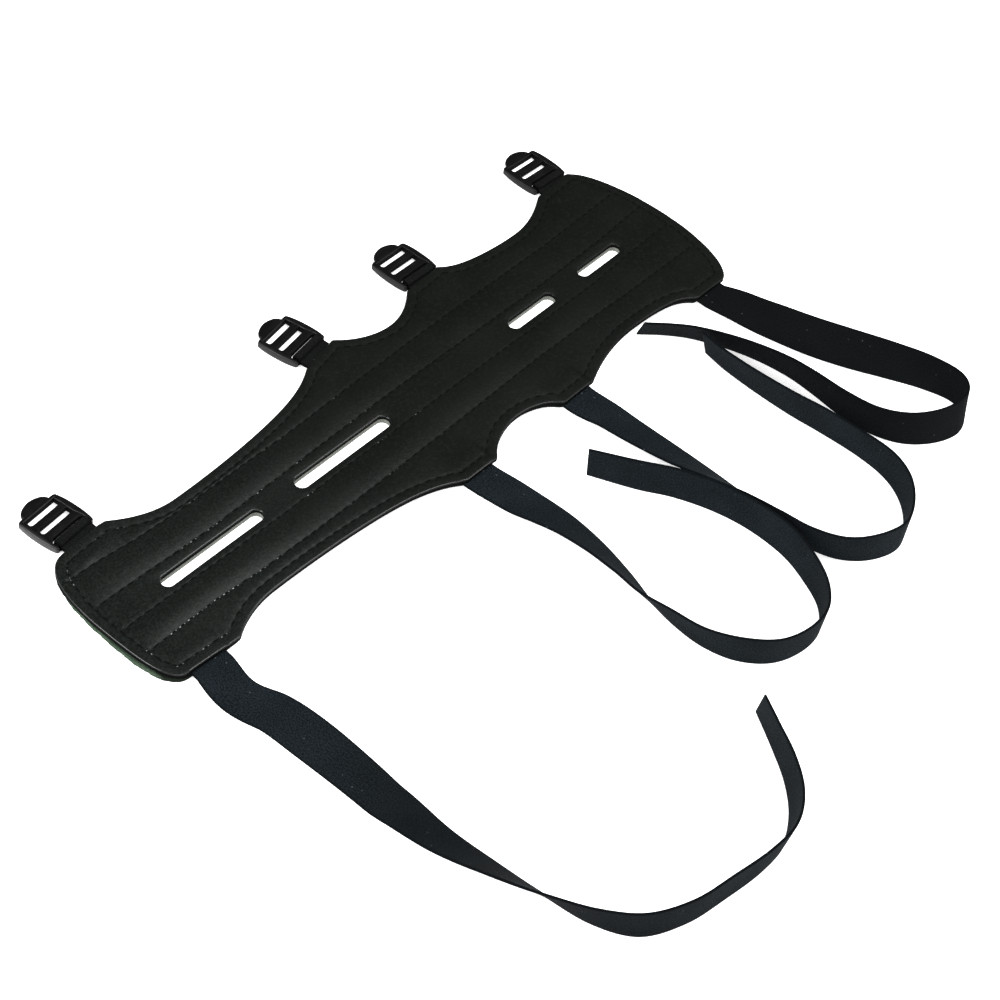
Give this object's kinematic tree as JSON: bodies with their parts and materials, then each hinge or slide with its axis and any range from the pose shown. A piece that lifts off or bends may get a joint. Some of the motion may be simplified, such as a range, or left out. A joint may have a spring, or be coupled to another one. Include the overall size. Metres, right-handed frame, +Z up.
{
  "type": "arm guard",
  "caption": "Flat forearm guard of padded leather with lobed sides, vent slots, elastic straps along one side and ladder-lock buckles along the other.",
  "frame": {"origin": "middle of the guard's underside, on the surface it lies on", "axes": "+X along the forearm from the narrow end to the wide end, +Y towards the buckles, +Z up out of the leather face"},
  "size_m": [0.3067, 0.276, 0.015],
  "materials": {
    "leather": "satin black leather",
    "lining": "matt grey-green backing",
    "elastic": "matt knitted elastic",
    "plastic": "satin moulded plastic"
  },
  "bodies": {
    "root": {"face_panel": "leather", "backing": "lining", "strap_1": "elastic", "strap_2": "elastic", "strap_3": "elastic", "strap_4": "elastic", "buckle_1": "plastic", "buckle_2": "plastic", "buckle_3": "plastic", "buckle_4": "plastic", "buckle_loop_1": "elastic", "buckle_loop_2": "elastic", "buckle_loop_3": "elastic", "buckle_loop_4": "elastic"}
  },
  "joints": []
}
